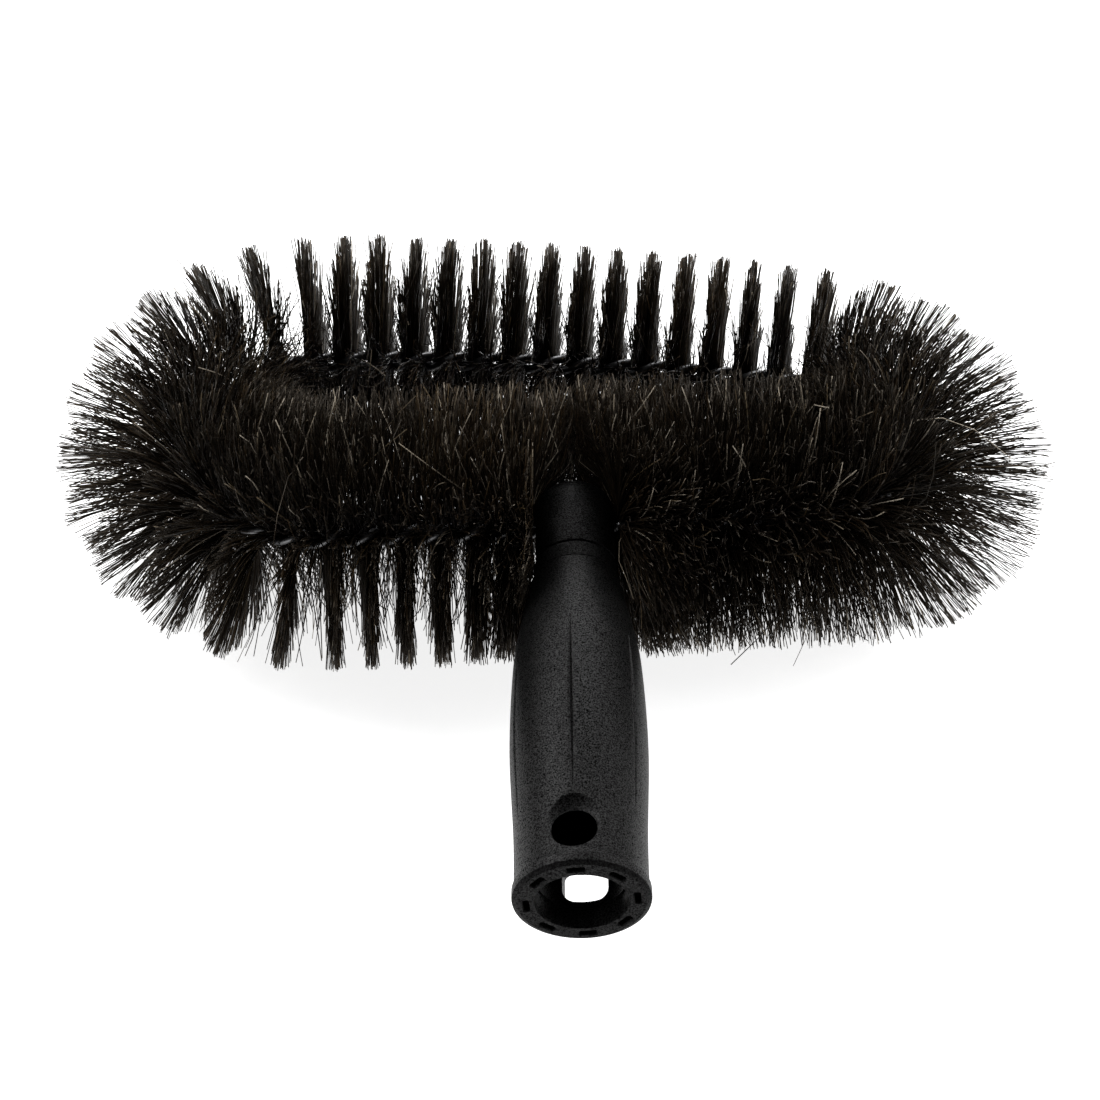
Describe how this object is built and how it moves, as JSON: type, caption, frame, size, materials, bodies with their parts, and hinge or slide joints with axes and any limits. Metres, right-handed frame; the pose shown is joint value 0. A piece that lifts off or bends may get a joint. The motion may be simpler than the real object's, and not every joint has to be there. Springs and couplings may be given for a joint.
{
  "type": "oval twisted-wire brush head",
  "caption": "Oval loop of twisted-wire hair brush, held at the middle of one long side in a moulded pole socket that lies in the loop's plane.",
  "frame": {"origin": "centre of the pole seat, the flat end of the socket's bore, on the socket's axis and in the loop's middle plane", "axes": "+X along the loop's long axis towards its smaller end, +Y along the socket from its mouth towards the loop, +Z normal to the loop's plane"},
  "size_m": [0.3146, 0.261, 0.082],
  "materials": {
    "socket_plastic": "fine-grained moulded black",
    "core_plastic": "moulded black, semi-matte",
    "ferrule_steel": "zinc-plated, dull",
    "stem_steel": "dark drawn wire, slightly glossy",
    "hair": "black-brown natural hair, glossy strands"
  },
  "bodies": {
    "root": {"socket_body": "socket_plastic", "wire_core": "core_plastic", "nose_cap": "socket_plastic", "crimp_ferrule": "ferrule_steel", "wire_strand_a": "stem_steel", "wire_strand_b": "stem_steel", "bristle_tuft_01": "hair", "bristle_tuft_02": "hair", "bristle_tuft_03": "hair", "bristle_tuft_04": "hair", "bristle_tuft_05": "hair", "bristle_tuft_06": "hair", "bristle_tuft_07": "hair", "bristle_tuft_08": "hair", "bristle_tuft_09": "hair", "bristle_tuft_10": "hair", "bristle_tuft_11": "hair", "bristle_tuft_12": "hair", "bristle_tuft_13": "hair", "bristle_tuft_14": "hair", "bristle_tuft_15": "hair", "bristle_tuft_16": "hair", "bristle_tuft_17": "hair", "bristle_tuft_18": "hair", "bristle_tuft_19": "hair", "bristle_tuft_20": "hair", "bristle_tuft_21": "hair", "bristle_tuft_22": "hair", "bristle_tuft_23": "hair", "bristle_tuft_24": "hair", "bristle_tuft_25": "hair", "bristle_tuft_26": "hair", "bristle_tuft_27": "hair", "bristle_tuft_28": "hair", "bristle_tuft_29": "hair", "bristle_tuft_30": "hair", "bristle_tuft_31": "hair", "bristle_tuft_32": "hair", "bristle_tuft_33": "hair", "bristle_tuft_34": "hair", "bristle_tuft_35": "hair", "bristle_tuft_36": "hair", "bristle_tuft_37": "hair", "bristle_tuft_38": "hair", "bristle_tuft_39": "hair", "bristle_tuft_40": "hair", "bristle_tuft_41": "hair", "bristle_tuft_42": "hair", "bristle_tuft_43": "hair", "bristle_tuft_44": "hair", "bristle_tuft_45": "hair"}
  },
  "joints": []
}
